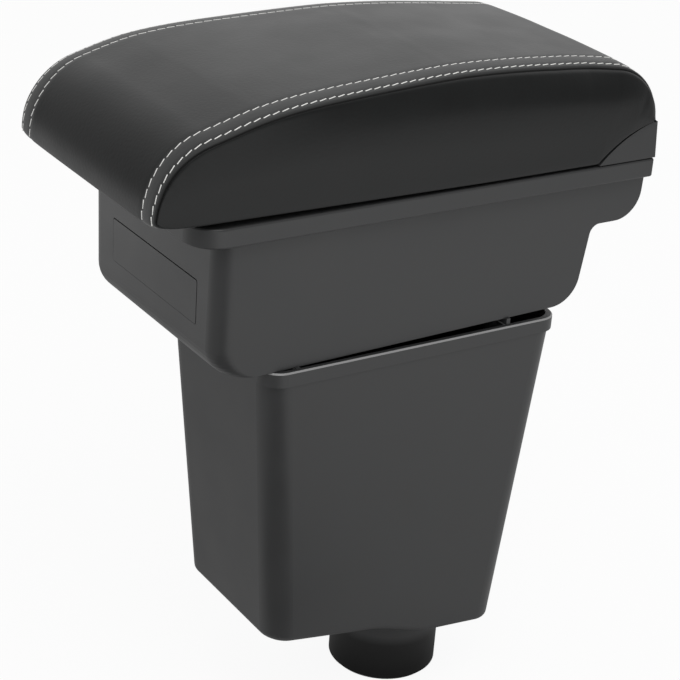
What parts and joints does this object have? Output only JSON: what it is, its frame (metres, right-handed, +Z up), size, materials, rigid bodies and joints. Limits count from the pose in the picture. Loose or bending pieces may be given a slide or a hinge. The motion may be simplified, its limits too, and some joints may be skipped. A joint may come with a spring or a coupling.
{
  "type": "car centre armrest",
  "caption": "Car centre armrest: a stitched leather lid pad hinged on a storage bin, over a tapered lower box whose round plug stands in a cup holder.",
  "frame": {"origin": "centre of the plug's lower end, which stands on the cup holder's floor", "axes": "+X to the rear of the car, where the lid's hinge is, +Y to the car's right, +Z up along the plug's axis"},
  "size_m": [0.312, 0.15, 0.3761],
  "materials": {
    "black_plastic": "fine grain",
    "black_leather": "pebble grain, satin",
    "white_thread": "twisted thread",
    "foam": "open cell",
    "zinc_steel": "zinc plated",
    "black_rubber": "matt"
  },
  "bodies": {
    "base": {"lower_box": "black_plastic", "upper_box": "black_plastic", "front_blank_panel": "black_plastic", "joining_washers": "zinc_steel", "joining_screws": "zinc_steel", "hinge_pin": "zinc_steel", "lid_bumpers": "black_rubber"},
    "lid": {"lid_base": "black_plastic", "lid_screws": "zinc_steel", "pad_board": "black_plastic", "pad_foam": "foam", "leather_top_panel": "black_leather", "leather_left_panel": "black_leather", "leather_right_panel": "black_leather", "left_outer_topstitching": "white_thread", "left_inner_topstitching": "white_thread", "right_outer_topstitching": "white_thread", "right_inner_topstitching": "white_thread"}
  },
  "joints": [
    {"name": "lid_hinge", "type": "hinge", "parent": "base", "child": "lid", "pos_m": [0.114, 0.0155, 0.3183], "axis": [0, 1, 0], "range_deg": [0, 95]}
  ]
}
